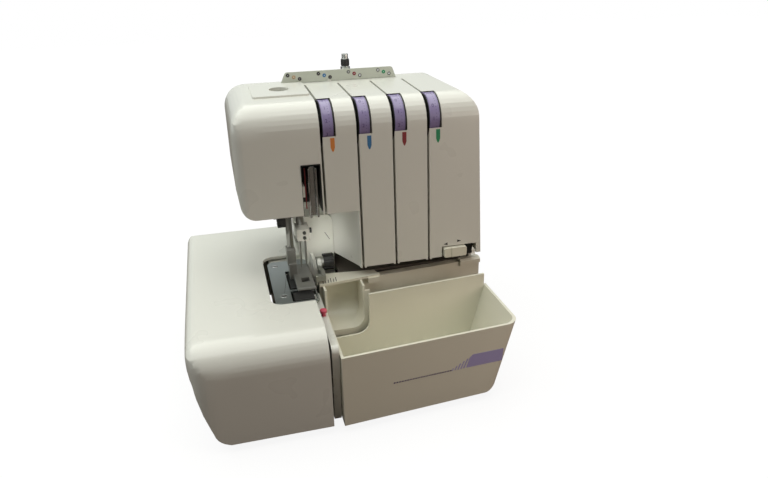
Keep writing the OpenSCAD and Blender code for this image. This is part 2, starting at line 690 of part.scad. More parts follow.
module drive_belt() color(dark_trim) along_x(pulley_x0 + 1, pulley_x1 - 1) difference() {
    belt_loop(gap + belt_t);
    belt_loop(gap);
}
grip_count = 18;
module handwheel() color(body_white) {
    x0 = side_x0 + wheel_gap;
    difference() {
        rod_x(x0, wheel_face_x, shaft_y, shaft_z, wheel_r);
        rod_x(wheel_face_x - 4, wheel_face_x + 1, shaft_y, shaft_z, wheel_r - 6);
        for (i = [0:grip_count - 1]) translate([x0 - 1, shaft_y, shaft_z]) rotate([i * 360 / grip_count, 0, 0])
            translate([0, 0, wheel_r + 1.6]) rotate([0, 90, 0]) cylinder(h = wheel_w + 2, r = 3.2);
    }
    rod_x(wheel_face_x - 5, wheel_face_x - 1, shaft_y, shaft_z, 10);
}

// ---- Extension table ----
table_undercut = 31;
module table_form(g) intersection() {
    along_y(-200, 300) polygon(concat([[-table_right + (g > 0 ? 5 : 0), floor_gap - (g > 0 ? 1 : 0)],
            [-table_right + (g > 0 ? 5 : 0), table_top - g]],
        arc([9 - table_reach, table_top - 9], 9 - g, 90, 180, 5),
        [[g - table_reach + 0.5, 75], [g - table_reach + 9, 40]],
        arc([table_undercut - table_reach, floor_gap + 16], 16 - g, 190, 250, 5),
        [[table_undercut - table_reach - 3, floor_gap - (g > 0 ? 1 : 0)]]));
    along_x(-300, 100) polygon(concat([[g - table_front, 0]],
        arc([table_fillet - table_front, table_top - table_fillet], table_fillet - g, 180, 90),
        arc([table_rear - 8, table_top - 8], 8 - g, 90, 0, 5), [[table_rear - g, 0]]));
    linear_extrude(200) polygon(concat(arc([14 - table_reach, table_rear - 14], 14 - g, 90, 180, 6),
        arc([18 - table_reach, 18 - table_front], 18 - g, 180, 270, 6), [[40, g - table_front], [40, table_rear - g]]));
}
notch_left = plate_left + 4;
module extension_table() color(body_white) difference() {
    union() {
        difference() {
            table_form(0);
            table_form(shell_wall);
        }
        // ribs under the surface
        for (y = [-75, 100]) intersection() {
            table_form(0.5);
            box([-table_reach, y, table_top - 12], [-notch_left - 12, y + 2, table_top - 1]);
        }
        for (y = table_foot_y) rod_z(floor_gap, table_top - 1, table_foot_x, y, 5);
    }
    translate([0, 0, table_top - 20]) linear_extrude(40)
        rounded_plan([-notch_left, -plate_front - 1.5], [40, plate_l - plate_front + 8], 11);
}
table_foot_x = -104;
table_foot_y = [-72, 122];
module table_feet() color(dark_trim) for (y = table_foot_y) rod_z(0, floor_gap, table_foot_x, y, 7);

button_x = -15.5;
button_y = -47;
module release_button() color([0.78, 0.25, 0.38]) {
    rod_z(tray_rim, tray_rim + 12, button_x, button_y, 2);
    rod_z(tray_rim + 11, tray_rim + 14, button_x, button_y, 3.2);
}

// ---- Front cover ----
cover_low = base_top + 5;
lip_w = 22;
module swept() translate([cover_left, cover_y0, 0]) rotate(sweep) children();
cover_len = (cover_right - cover_left) / cos(sweep);
mouth_r = 47;
lug_x = [30, 58, 84, 140];
bush_x0 = 64.2;
bush_x1 = 83.8;
module front_cover() color(cover_cream) {
    difference() {
        union() {
            swept() box([0, 0, cover_low], [cover_len, cover_t, cover_top]);
            // flange behind the upper edge, and the thumb lip at its right end
            swept() box([mouth_r + 3, 0, cover_top - 2.4], [cover_len, 8, cover_top]);
            swept() along_x(cover_len - lip_w, cover_len) polygon([[-2.6, cover_top - 3], [-2.6, cover_top + 0.8],
                [0, cover_top + 2.6], [5, cover_top + 2.6], [5, cover_top - 2], [0.5, cover_top - 4.6]]);
            // ledge that the cloth runs over
            translate([0, 0, plate_top - 2.6]) linear_extrude(2.6)
                polygon([[cover_left, -6], [49, 0.2], [45, 11.4], [cover_left + 1.6, 17]]);
            along_x(cover_left, cover_left + 2) polygon([[-5, cover_top], [17, cover_top], [17, plate_top - 1],
                [-5, plate_top - 1]]);
            translate([0, 0, cover_top - 4]) linear_extrude(plate_top - cover_top + 2)
                polygon([[36.5, -2.5], [48.5, -1.5], [47, 4], [36.5, 4]]);
            for (x = lug_x) box([x, sweep_y(x) + cover_y0 + 1, rod_z - 5], [x + 6, rod_y + 5, rod_z + 5]);
            // stiffening ribs on the inner face
            for (u = [66, 110]) swept() box([u, cover_t - 0.5, rod_z + 14], [u + 2, cover_t + 3, cover_top - 1]);
        }
        rod_x(-50, 200, rod_y, rod_z, rod_d / 2 + fit);
        // mouth of the chute
        along_y(-30, 12) polygon(mouth_outline(0, 0));
    }
}
mouth_left = cover_left + 3;
mouth_right = chute_right - 1;
mouth_top = plate_top - 2.6;
function mouth_outline(g, over) = concat([[mouth_left + g, mouth_top + over], [mouth_left + g, chute_sill + 1 + g]],
    arc([mouth_right - 14, chute_sill + 15], 14 - g, 270, 360), [[mouth_right - g, mouth_top + over]]);
// The scoop falls forwards from under the ledge to the tray; over lets the inner shape run out of it
scoop_back = 15;
scoop_lip = -20;
scoop_r = 26;
module scoop(g, over) intersection() {
    along_y(-40, 40) polygon(mouth_outline(g, over));
    along_x(cover_left, 60) polygon(concat([[scoop_back - g, mouth_top + over]],
        arc([scoop_back - scoop_r, chute_sill + 1 + scoop_r], scoop_r - g, 0, -90),
        [[scoop_lip - over, chute_sill + 1 + g], [scoop_lip - over, chute_sill + 8],
            [scoop_lip + lip_rake - over, mouth_top + over]]));
}
// Flange behind the edge of the tray's cut-out, raked so that it clears the tray when it tilts
flange_w = 4.5;
lip_rake = 5;
module chute_flange() intersection() {
    along_y(-40, 40) difference() {
        polygon(mouth_outline(-flange_w, 0));
        polygon(mouth_outline(0.6, 1));
    }
    box([mouth_left + 0.05, -40, 0], [60, 40, cover_top - 4]);
    along_x(cover_left, 60) polygon([[scoop_lip, chute_sill - 5], [scoop_lip, chute_sill + 8],
        [scoop_lip + lip_rake, mouth_top], [scoop_lip + lip_rake + 1.6, mouth_top],
        [scoop_lip + 1.6, chute_sill + 8], [scoop_lip + 1.6, chute_sill - 5]]);
}
module waste_chute() color(cover_cream) {
    difference() {
        scoop(0.05, -0.05);
        scoop(2, 6);
    }
    chute_flange();
}
module cover_rod() color(bright_steel) {
    rod_x(cover_left + 14, side_x0 - 6, rod_y, rod_z, rod_d / 2);
    for (x = [18, 124]) difference() {
        box([x, rod_y - 3.1, base_top], [x + 4, rod_y + 5, rod_z + 4]);
        rod_x(x - 1, x + 5, rod_y, rod_z, rod_d / 2);
    }
}
module cover_bush() color("peru") difference() {
    rod_x(bush_x0, bush_x1, rod_y, rod_z, rod_d / 2 + 1.6);
    rod_x(bush_x0 - 1, bush_x1 + 1, rod_y, rod_z, rod_d / 2 + fit);
}

// ---- Waste tray ----
tray_slant = 15.8;
tray_foot_r = 18;
tray_corner_r = 13;
function tray_y(x) = -tray_front + (x - tray_left) * tray_slope;
// Tray seen from the front; up lets the inner shape run out over the rim
module tray_profile(g, up) {
    xc = tray_right - (tray_foot_r + sin(tray_slant) * (tray_rim - floor_gap - tray_foot_r)) / cos(tray_slant);
    polygon(concat([[tray_left + g, tray_rim + up], [tray_left + g, floor_gap + g]],
        arc([xc, floor_gap + tray_foot_r], tray_foot_r - g, -90, -tray_slant),
        [[tray_right - g / cos(tray_slant) + up * tan(tray_slant), tray_rim + up]]));
}
// Prism that rounds the upright corner, leaning out with the right wall
module tray_corner(g) {
    lean = atan(tan(tray_slant) / cos(sweep));
    k = tray_slope * cos(lean);
    // a trace outside the flat walls, which the outline and the profile cut
    o = g - 0.05;
    cy = o + tray_corner_r;
    translate([tray_right, tray_y(tray_right), tray_rim]) rotate(sweep) rotate([0, lean, 0])
        translate([0, 0, -120]) linear_extrude(180) polygon(concat([[-280, 220], [-280, o]],
            arc([k * cy - (o + tray_corner_r) * sqrt(1 + k * k), cy], tray_corner_r, -90, -atan(k)),
            [[k * 220 - o * sqrt(1 + k * k), 220]]));
}
function tray_rear(x) = tray_back_y + (x - tray_left) * tray_slope;
// Plan of the tray between two distances ahead of its rear face
module tray_plan(front_g, rear_g) {
    x0 = tray_left - 5;
    x1 = 200;
    polygon([[x0, tray_y(x0) + front_g], [x1, tray_y(x1) + front_g], [x1, tray_rear(x1) - rear_g],
        [x0, tray_rear(x0) - rear_g]]);
}
module tray_form(g, up) intersection() {
    along_y(-200, 50) tray_profile(g, up);
    linear_extrude(120) tray_plan(g, g);
    tray_corner(g);
}
tray_wall = 2.4;
module waste_tray() color(cover_cream) difference() {
    union() {
        difference() {
            tray_form(0, 0);
            tray_form(tray_wall, 6);
        }
        // the rear wall stands higher than the rim
        intersection() {
            translate([0, 0, tray_rim - 6]) linear_extrude(tray_back_top - tray_rim + 6) difference() {
                tray_plan(0, 0);
                tray_plan(-10, tray_wall);
            }
            box([tray_left, -60, 0], [tray_right - 3, 50, 200]);
        }
    }
    // cut-out in front of the chute
    along_y(tray_back_y - 5, tray_back_y + 8) polygon(concat([[tray_left + tray_wall, tray_back_top + 5],
        [tray_left + tray_wall, chute_sill]], arc([chute_right - 12, chute_sill + 12], 12, 270, 360),
        [[chute_right, tray_back_top + 5]]));
    // the end of the rear wall left of the cut-out
    box([tray_left - 1, tray_back_y - 6, tray_rim], [tray_left + 3, tray_back_y + 8, tray_back_top + 5]);
}

// ---- Controls ----
module selector_track() color(dark_trim) {
    box([selector_left - 4, 12, panel_bottom - 6], [selector_right + 0.5, 14, selector_top + 3]);
    box([selector_left - 4, 4.2, selector_top + 0.5], [selector_right + 0.5, 12.5, selector_top + 3]);
}
selector_w = 23.5;
module selector_key(g) hull() for (x = [selector_left + 1.4 + 2, selector_left + 1.4 + selector_w - 2],
        z = [panel_bottom - 0.5 + 2, panel_bottom + 9.5 - 2])
    rod_y(-3 + g, 11.5, x, z, 2, $fn = 24);
module stitch_selector() color(cover_cream) difference() {
    selector_key(0);
    box([selector_left + 8.4, -5, 0], [selector_left + 9.2, -2.2, 300]);
}
length_dial_y = 52;
length_dial_z = 140;
length_hub_r = 5;
module stitch_length_dial() color(body_white) {
    x = side_x(length_dial_z) + 1.2;
    rod_x(x - 9, x + 0.1, length_dial_y, length_dial_z, length_hub_r);
    difference() {
        rod_x(x, x + 7, length_dial_y, length_dial_z, 17);
        for (a = [0:20:340]) translate([x - 1, length_dial_y, length_dial_z]) rotate([a, 0, 0])
            translate([0, 0, 18.2]) rotate([0, 90, 0]) cylinder(h = 9, r = 2.2);
    }
}
switch_y = 40;
switch_z = 84;
inlet_y = 40;
inlet_z = 54;
switch_axis_x = side_x0 - 5;
switch_pin_r = 1.5;
// Rocker with a round back about its pivot, and the pivot's two pins
module power_switch() color(dark_trim) {
    box([side_x0 - 6, switch_y - 6.5, switch_z - 9.5], [side_x0 + 0.5, switch_y + 6.5, switch_z + 9.5]);
    rod_y(switch_y - 6.5, switch_y + 6.5, switch_axis_x, switch_z, 4);
    rod_y(switch_y - 8.8, switch_y + 8.8, switch_axis_x, switch_z, switch_pin_r);
}
module power_inlet() color(dark_trim) {
    difference() {
        box([side_x0 - 12, inlet_y - 9, inlet_z - 8], [side_x0 + 0.6, inlet_y + 9, inlet_z + 8]);
        box([side_x0 - 9, inlet_y - 7, inlet_z - 6], [side_x0 + 5, inlet_y + 7, inlet_z + 6]);
    }
    for (y = [inlet_y - 3.5, inlet_y + 3.5]) rod_x(side_x0 - 10, side_x0 - 1.5, y, inlet_z, 1.2);
}
lever_x = -30;
lever_z = 186;
module lifter_lever() color(body_white) difference() {
    union() {
        rod_x(lever_x - 4, lever_x + 4, 121, lever_z, 3.4);
        along_x(lever_x - 3, lever_x + 3) polygon([[121, lever_z + 2.4], [121, lever_z - 2.4], [150, lever_z - 10],
            [160, lever_z - 17], [163, lever_z - 15], [152, lever_z - 5]]);
    }
    rod_x(lever_x - 5, lever_x + 5, 121, lever_z, 1.6 + fit);
}

// ---- Thread stand ----
stand_z = 108;
stand_t = 3;
stand_front = casing_depth;
stand_x = [-14, 150];
spool_x = [6, 36, 98, 130];
spool_back = [24, 48, 48, 24];
pole_y = 141;
module spool_stand() color(body_white) difference() {
    union() {
        translate([0, 0, stand_z]) linear_extrude(stand_t)
            rounded_plan([stand_x[0], stand_front + 0.05], [stand_x[1], stand_rear], 6);
        box([stand_x[0] + 2, stand_front + 0.05, stand_z - 20], [stand_x[1] - 2, stand_front + 3, stand_z + 1]);
        for (x = [-6, 66, 138]) along_x(x, x + 3) polygon([[stand_front + 1, stand_z - 18],
            [stand_front + 1, stand_z + 1],
            [stand_rear - 12, stand_z + 1]]);
        rod_z(stand_z, stand_z + 10, pole_x, pole_y, pole_d / 2 + 3);
    }
    rod_z(stand_z + 2, stand_z + 11, pole_x, pole_y, pole_d / 2);
}
holder_h = 22;
function spool_at(i) = [spool_x[i], stand_front + spool_back[i]];
module spool_pins() color(bright_steel) for (i = [0:slot_count - 1]) {
    foot = stand_z + stand_t;
    // a thinner shank stands in the holder, and the pin shoulders on above it
    rod_z(foot, foot + holder_h + 1.5, spool_at(i)[0], spool_at(i)[1], 2);
    rod_z(foot + holder_h + 1, foot + spool_pin_h, spool_at(i)[0], spool_at(i)[1], 2.5);
}
module cone_holders() color(dark_trim) for (i = [0:slot_count - 1])
    translate([spool_at(i)[0], spool_at(i)[1], stand_z + stand_t])
    difference() {
        union() {
            cylinder(h = 2, r = cone_d / 2);
            for (a = [0:60:300]) rotate(a) translate([0, -0.6, 0]) cube([cone_d / 2 - 4, 1.2, holder_h]);
            cylinder(h = holder_h, r = 5);
        }
        translate([0, 0, -1]) cylinder(h = holder_h + 5, r = 2.2);
        translate([0, 0, -1]) difference() {
            cylinder(h = 40, r = cone_d);
            cylinder(h = 40, r1 = cone_d / 2 + 4, r2 = 1);
        }
    }
pole_base_z = stand_z + 2;
module pole_outer() color(bright_steel) difference() {
    rod_z(pole_base_z, pole_top_z - 13, pole_x, pole_y, pole_d / 2);
    rod_z(pole_base_z + 3, pole_top_z, pole_x, pole_y, pole_d / 2 - 1.4);
}
module pole_middle() color(bright_steel) {
    rod_z(pole_base_z + 3.2, pole_top_z - 12, pole_x, pole_y, pole_d / 2 - 1.4 - fit);
    rod_z(pole_top_z - 12.4, pole_top_z - 5, pole_x, pole_y, 3.9);
    rod_z(pole_top_z - 5, pole_top_z, pole_x, pole_y, 3.3);
}

at_origin() base_plate();
at_origin() rubber_feet();
at_origin() machine_frame();
at_origin() frame_shelf();
at_origin() front_casing();
at_origin() rear_casing();
at_origin() side_cover();
at_origin() table_partition();
at_origin() thread_guide_plate();
at_origin() head_bottom_plate();
at_origin() thread_cutter();
at_origin() take_up_guide();
at_origin() needle_plate();
at_origin() needle_plate_screws();
at_origin() lower_knife();
at_origin() tension_bracket();
at_origin() tension_discs();
at_origin() motor();
at_origin() power_inlet();
at_origin() spool_stand();
at_origin() spool_pins();
at_origin() cone_holders();
at_origin() pole_outer();
at_origin() cover_rod();
at_origin() selector_track();
at_origin() main_shaft_bushes();
at_origin() extension_table();
at_origin() table_feet();
at_origin() waste_tray();
at_origin() cover_bush();
at_origin() front_cover();
at_origin() waste_chute();
at_origin() tension_dial_1();
at_origin() tension_dial_2();
at_origin() tension_dial_3();
at_origin() tension_dial_4();
at_origin() handwheel();
at_origin() main_shaft();
at_origin() driven_pulley();
at_origin() motor_pulley();
at_origin() drive_belt();
at_origin() needle_bar();
at_origin() needle_clamp();
at_origin() needle_clamp_screws();
at_origin() needles();
at_origin() presser_bar();
at_origin() presser_foot();
at_origin() lifter_lever();
at_origin() knife_knob();
at_origin() upper_knife();
at_origin() lower_looper();
at_origin() upper_looper();
at_origin() main_feed_dog();
at_origin() differential_feed_dog();
at_origin() stitch_selector();
at_origin() release_button();
at_origin() pole_middle();
at_origin() stitch_length_dial();
at_origin() power_switch();
at_origin() pressure_screw();
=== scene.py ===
import json
import math

import bmesh
import bpy
from mathutils import Matrix, Vector


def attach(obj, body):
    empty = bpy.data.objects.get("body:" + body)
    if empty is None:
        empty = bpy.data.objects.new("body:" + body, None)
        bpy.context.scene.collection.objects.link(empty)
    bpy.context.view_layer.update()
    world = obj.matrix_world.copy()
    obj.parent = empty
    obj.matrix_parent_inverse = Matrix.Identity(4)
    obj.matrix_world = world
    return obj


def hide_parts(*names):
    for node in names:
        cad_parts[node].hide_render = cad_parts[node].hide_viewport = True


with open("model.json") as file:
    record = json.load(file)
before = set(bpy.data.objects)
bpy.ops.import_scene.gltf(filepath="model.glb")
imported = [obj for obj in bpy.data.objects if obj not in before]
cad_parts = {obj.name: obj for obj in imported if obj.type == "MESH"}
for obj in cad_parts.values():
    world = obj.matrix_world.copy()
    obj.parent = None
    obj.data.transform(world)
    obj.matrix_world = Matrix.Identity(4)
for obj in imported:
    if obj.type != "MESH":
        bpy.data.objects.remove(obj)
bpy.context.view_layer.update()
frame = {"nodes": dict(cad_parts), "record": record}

# Dresses the overlock machine: softens its CAD nodes, adds its dials, print and small trim, and lights it.
# Sizes and places are millimetres of the part, and at() and MM turn them into metres.
MM = 0.001
# The part is measured from its first thread slot, and the scene's origin is under the middle of its box.
MID_X, MID_Y = 18.7, 44.15
RECORD = frame["record"]
BODY_OF = {n: b for b, members in RECORD["behaviour"]["bodies"].items() for n in members}
SLOT_OF = {s["node"]: s["material_slot"] for s in RECORD["subparts"]}


def at(x, y, z):
    """A point of the part, from millimetres off the first slot to metres in the row frame."""
    return Vector((x - MID_X, y - MID_Y, z)) * MM


# ---------------------------------------------------------------- camera
SENSOR_WIDTH = 36.0
FOCAL_PIXELS, PICTURE_PIXELS = 654.978, 768.0
CAMERA_SPOT = (-86.844, -556.775, 377.110)
# degrees: up from level, to the right, and about the line of sight
CAMERA_TURNS = (-23.2567, 14.1608, -1.2848)


def make_camera():
    rx, ry, rz = (math.radians(a) for a in CAMERA_TURNS)
    forward = Vector((math.sin(ry) * math.cos(rx), math.cos(ry) * math.cos(rx), math.sin(rx)))
    level = Vector((math.cos(ry), -math.sin(ry), 0))
    upright = level.cross(forward)
    right = math.cos(rz) * level + math.sin(rz) * upright
    up = -math.sin(rz) * level + math.cos(rz) * upright
    data = bpy.data.cameras.new("camera")
    data.sensor_width = SENSOR_WIDTH
    data.sensor_fit = "HORIZONTAL"
    data.lens = FOCAL_PIXELS * SENSOR_WIDTH / PICTURE_PIXELS
    data.clip_start = 0.01
    cam = bpy.data.objects.new("camera", data)
    bpy.context.collection.objects.link(cam)
    turn = Matrix((right, up, -forward)).transposed().to_4x4()
    cam.matrix_world = Matrix.Translation(at(*CAMERA_SPOT)) @ turn
    bpy.context.scene.camera = cam


make_camera()
bpy.context.scene.view_settings.view_transform = "Standard"


# ---------------------------------------------------------------- shader helpers
class Sock:
    """A number on its way through a material, with arithmetic."""

    def __init__(self, shader, out):
        self.shader, self.out = shader, out

    def _math(self, op, *args):
        node = self.shader.add("ShaderNodeMath", {"operation": op}, dict(enumerate(args)))
        return Sock(self.shader, node.outputs[0])

    def __add__(self, other):
        return self._math("ADD", self, other)

    __radd__ = __add__

    def __mul__(self, other):
        return self._math("MULTIPLY", self, other)

    __rmul__ = __mul__

    def __sub__(self, other):
        return self._math("SUBTRACT", self, other)

    def __rsub__(self, other):
        return self._math("SUBTRACT", other, self)

    def fract(self):
        return self._math("FRACT", self)

    def clamp(self):
        return self._math("MINIMUM", self._math("MAXIMUM", self, 0.0), 1.0)


class Shader:
    def __init__(self, name):
        self.mat = bpy.data.materials.new(name)
        self.mat.use_nodes = True
        self.tree = self.mat.node_tree
        self.bsdf = next(n for n in self.tree.nodes if n.type == "BSDF_PRINCIPLED")
        self.coords = self.add("ShaderNodeTexCoord", {}, {}).outputs["Object"]

    def add(self, kind, settings, values):
        """Adds a node, sets it up and feeds its sockets with numbers or links."""
        node = self.tree.nodes.new(kind)
        for key, value in settings.items():
            setattr(node, key, value)
        for key, value in values.items():
            self.feed(node.inputs[key], value)
        return node

    def feed(self, socket, value):
        if isinstance(value, Sock):
            value = value.out
        if isinstance(value, bpy.types.NodeSocket):
            self.tree.links.new(value, socket)
        else:
            socket.default_value = value

    def noise(self, scale, detail=2.0, rough=0.5):
        values = {"Vector": self.coords, "Scale": scale, "Detail": detail, "Roughness": rough}
        return Sock(self, self.add("ShaderNodeTexNoise", {}, values).outputs[0])

    def axis(self, name):
        node = self.add("ShaderNodeSeparateXYZ", {}, {0: self.coords})
        return Sock(self, node.outputs[name])

    def wave(self, axis, per_metre):
        """A sawtooth between -0.5 and 0.5 along an axis of the object."""
        return (self.axis(axis) * per_metre).fract() - 0.5

    def blend(self, mask, a, b):
        node = self.add("ShaderNodeMix", {"data_type": "RGBA"}, {0: mask, 6: (*a, 1), 7: (*b, 1)})
        return node.outputs[2]

    def bump(self, height, strength, distance):
        node = self.add("ShaderNodeBump", {}, {"Height": height, "Strength": strength, "Distance": distance})
        self.feed(self.bsdf.inputs["Normal"], node.outputs[0])

    def set(self, **values):
        for key, value in values.items():
            self.feed(self.bsdf.inputs[key.replace("_", " ")], value)


def shade(colour, by):
    return tuple(min(max(c * by, 0.0), 1.0) for c in colour)


def plastic(name, colour, rough, grain=0.15, coat=0.0, tint=0.94):
    """Moulded or printed plastic and paint: faint cloudy tone, fine grain and a clear coat."""
    s = Shader(name)
    s.set(Base_Color=s.blend(s.noise(14.0, 3.0), shade(colour, tint), colour),
          Roughness=s.noise(25.0, 2.0) * 0.04 + (rough - 0.02), Coat_Weight=coat, Coat_Roughness=0.10)
    s.bump(s.noise(1400.0, 2.0), grain, 0.0001)
    return s.mat


def metal(name, colour, rough, brush=0.0, axis="X"):
    """Bare metal with a slight smear, or brushed in lines across an axis."""
    s = Shader(name)
    smear = s.noise(60.0, 2.0)
    s.set(Metallic=1.0, Base_Color=s.blend(smear, shade(colour, 0.95), colour),
          Roughness=smear * 0.08 + (rough - 0.04))
    height = s.noise(900.0, 1.0)
    if brush:
        height = s.wave(axis, brush) * height
    s.bump(height, 0.03, 0.0001)
    return s.mat


SHELL = (0.745, 0.745, 0.690)
CREAM = (0.800, 0.785, 0.670)
PURPLE = (0.275, 0.225, 0.430)
MATERIALS = {
    "body_white": plastic("body_white", SHELL, 0.28, coat=0.3, tint=0.99),
    "cream_plastic": plastic("cream_plastic", CREAM, 0.34, coat=0.2),
    "dark_plastic": plastic("dark_plastic", (0.016, 0.016, 0.015), 0.45, grain=0.4, tint=0.7),
    "rubber": plastic("rubber", (0.020, 0.020, 0.019), 0.75, grain=0.8, tint=0.7),
    "bright_steel": metal("bright_steel", (0.58, 0.59, 0.58), 0.24),
    "grey_metal": metal("grey_metal", (0.34, 0.335, 0.31), 0.36),
    "painted_frame": plastic("painted_frame", (0.80, 0.81, 0.74), 0.28, grain=0.3, coat=0.4),
    "purple_plastic": plastic("purple_plastic", PURPLE, 0.30, coat=0.4, tint=0.97),
    "red_plastic": plastic("red_plastic", (0.62, 0.06, 0.12), 0.32, coat=0.3),
    "bronze": metal("bronze", (0.55, 0.36, 0.18), 0.35),
}
PLATE_STEEL = metal("plate_steel", (0.36, 0.39, 0.39), 0.30, brush=2200.0, axis="Y")
GUIDE_PAINT = plastic("guide_paint", (0.60, 0.64, 0.56), 0.34, coat=0.2)
# black print; also painted shade, in the plate's screw slots and the black eyelets' holes
INK_AND_SHADE = plastic("ink_and_shade", (0.030, 0.028, 0.026), 0.5, grain=0.1)
DIAL_INK = plastic("dial_ink", (0.075, 0.045, 0.150), 0.45, grain=0.1)
NECK_LINE_GREY = plastic("neck_line_grey", (0.22, 0.22, 0.20), 0.5, grain=0.1)
MARKS = {
    "orange": plastic("mark_orange", (0.70, 0.24, 0.06), 0.4, grain=0.1),
    "blue": plastic("mark_blue", (0.05, 0.18, 0.38), 0.4, grain=0.1),
    "red": plastic("mark_red", (0.24, 0.030, 0.035), 0.4, grain=0.1),
    "green": plastic("mark_green", (0.02, 0.26, 0.11), 0.4, grain=0.1),
}
STRIPE = plastic("stripe", (0.42, 0.38, 0.66), 0.4, grain=0.1, tint=0.97)
# steel for the bars and needles, darkened for the shade under the head: painted shade
SHADED_BAR_STEEL = metal("shaded_bar_steel", (0.24, 0.24, 0.225), 0.30)
# dark grey for the presser foot, darkened for the shade under the head: painted shade
SHADED_GREY = plastic("shaded_grey", (0.15, 0.15, 0.135), 0.36, grain=0.3, coat=0.3)
# near black for the feed dogs and lower knife, darkened for the shade in their slots and under the ledge:
# painted shade
SHADED_BLACK = plastic("shaded_black_steel", (0.040, 0.040, 0.038), 0.35, grain=0.3, coat=0.3)
# nodes whose colour differs from their material slot's; the bars, needles, presser foot, feed dogs, lower
# knife and shelf are darkened for the shade round the needles: painted shade
PAINTED = {
    "needle_plate": PLATE_STEEL,
    "thread_guide_plate": GUIDE_PAINT,
    "presser_foot": SHADED_GREY,
    "needle_clamp": plastic("clamp_grey", (0.33, 0.325, 0.29), 0.36, grain=0.3, coat=0.3),
    "needle_bar": SHADED_BAR_STEEL,
    "presser_bar": SHADED_BAR_STEEL,
    "needles": SHADED_BAR_STEEL,
    "lower_knife": SHADED_BLACK,
    "main_feed_dog": SHADED_BLACK,
    "differential_feed_dog": SHADED_BLACK,
    "upper_knife": metal("knife_steel", (0.36, 0.36, 0.33), 0.40),
    # the shelf's light paint, darkened for the shade under the panels: painted shade
    "frame_shelf": plastic("shelf_shaded_grey", (0.20, 0.18, 0.15), 0.5, grain=0.3),
}
for name, obj in frame["nodes"].items():
    obj.data.materials.clear()
    obj.data.materials.append(PAINTED.get(name) or MATERIALS[SLOT_OF[name]])


# ---------------------------------------------------------------- mesh helpers
def add_piece(name, mesh, body, slot, material=None, replaced=()):
    """Puts a mesh on a body, with the material of its slot or the one given, and hides the nodes that it
    stands in for.
    """
    obj = bpy.data.objects.new(name, mesh)
    bpy.context.collection.objects.link(obj)
    mesh.materials.clear()
    mesh.materials.append(material or MATERIALS[slot])
    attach(obj, body)
    if replaced:
        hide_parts(*replaced)
    return obj


def baked(obj):
    """The object's mesh with its modifiers applied; the object itself is removed."""
    bpy.context.view_layer.update()
    graph = bpy.context.evaluated_depsgraph_get()
    mesh = bpy.data.meshes.new_from_object(obj.evaluated_get(graph))
    bpy.data.objects.remove(obj)
    return mesh


def eased(work, spot, reach, step=4.0, passes=14):
    """Rounds a corner: cuts the mesh into small facets round a spot and evens them out."""
    middle = at(*spot)
    for axis in range(3):
        normal = Vector((0, 0, 0))
        normal[axis] = 1.0
        for k in range(int(-reach / step), int(reach / step) + 1):
            geom = work.verts[:] + work.edges[:] + work.faces[:]
            bmesh.ops.bisect_plane(work, geom=geom, dist=1e-6, plane_co=middle + normal * k * step * MM,
                                   plane_no=normal)
    # a full pull in the inner half of the reach, and less and less towards its end
    moving = {}
    for v in work.verts:
        share = 1.0 - (v.co - middle).length / (reach * MM)
        if share > 0:
            moving[v] = min(1.0, share * 2.0) * 0.6
    for _ in range(passes):
        spots = {}
        for v in moving:
            spots[v] = sum((e.other_vert(v).co for e in v.link_edges), Vector()) / len(v.link_edges)
        for v, share in moving.items():
            v.co = v.co.lerp(spots[v], share)


def softened(mesh, width, corners=(), segments=2, sharp=40.0):
    """A copy of the mesh with its flat faces joined and its edges rounded."""
    work = bmesh.new()
    work.from_mesh(mesh)
    bmesh.ops.remove_doubles(work, verts=work.verts, dist=2e-6)
    bmesh.ops.dissolve_limit(work, angle_limit=math.radians(0.8), verts=work.verts, edges=work.edges)
    for spot, reach in corners:
        eased(work, spot, reach)
    copy = bpy.data.meshes.new(mesh.name + "_soft")
    work.to_mesh(copy)
    work.free()
    obj = bpy.data.objects.new("softening", copy)
    bpy.context.collection.objects.link(obj)
    bevel = obj.modifiers.new("bevel", "BEVEL")
    bevel.width = width
    bevel.segments = segments
    bevel.limit_method = "ANGLE"
    bevel.angle_limit = math.radians(28)
    bevel.use_clamp_overlap = True
    bevel.miter_outer = "MITER_ARC"
    copy.shade_smooth()
    copy.set_sharp_from_angle(angle=math.radians(sharp))
    weighted = obj.modifiers.new("normals", "WEIGHTED_NORMAL")
    weighted.keep_sharp = True
    return baked(obj)


def from_bmesh(name, work, smooth=40.0):
    mesh = bpy.data.meshes.new(name)
    bmesh.ops.recalc_face_normals(work, faces=work.faces)
    work.to_mesh(mesh)
    work.free()
    mesh.shade_smooth()
    mesh.set_sharp_from_angle(angle=math.radians(smooth))
    return mesh


def lathe(name, profile, origin, axis="X", steps=96):
    """Turns a closed outline of (along, radius) in millimetres about an axis through origin."""
    work = bmesh.new()
    rings = []
    for along, radius in profile:
        ring = []
        for i in range(steps):
            a = 2 * math.pi * i / steps
            c, s = radius * math.cos(a), radius * math.sin(a)
            spot = {"X": (along, c, s), "Y": (c, along, -s), "Z": (c, s, along)}[axis]
            ring.append(work.verts.new(origin + Vector(spot) * MM))
        rings.append(ring)
    for a, b in zip(rings, rings[1:] + rings[:1]):
        for i in range(steps):
            j = (i + 1) % steps
            work.faces.new((a[i], a[j], b[j], b[i]))
    return from_bmesh(name, work, 35.0)


PRINT_SUNK = 0.05


def slab(work, corners, normal, thick):
    """A thin prism on a polygon of corners, its foot sunk a little into the face under it."""
    low = [work.verts.new(c - normal * PRINT_SUNK * MM) for c in corners]
    high = [work.verts.new(c + normal * thick * MM) for c in corners]
    work.faces.new(low)
    work.faces.new(list(reversed(high)))
    for i in range(len(low)):
        j = (i + 1) % len(low)
        work.faces.new((low[i], low[j], high[j], high[i]))


def block(work, a, b):
    """A box between two corners given in part millimetres."""
    lo, hi = at(*a), at(*b)
    made = bmesh.ops.create_cube(work, size=1.0)
    for v in made["verts"]:
        v.co = Vector((lo[i] + (hi[i] - lo[i]) * (v.co[i] + 0.5) for i in range(3)))


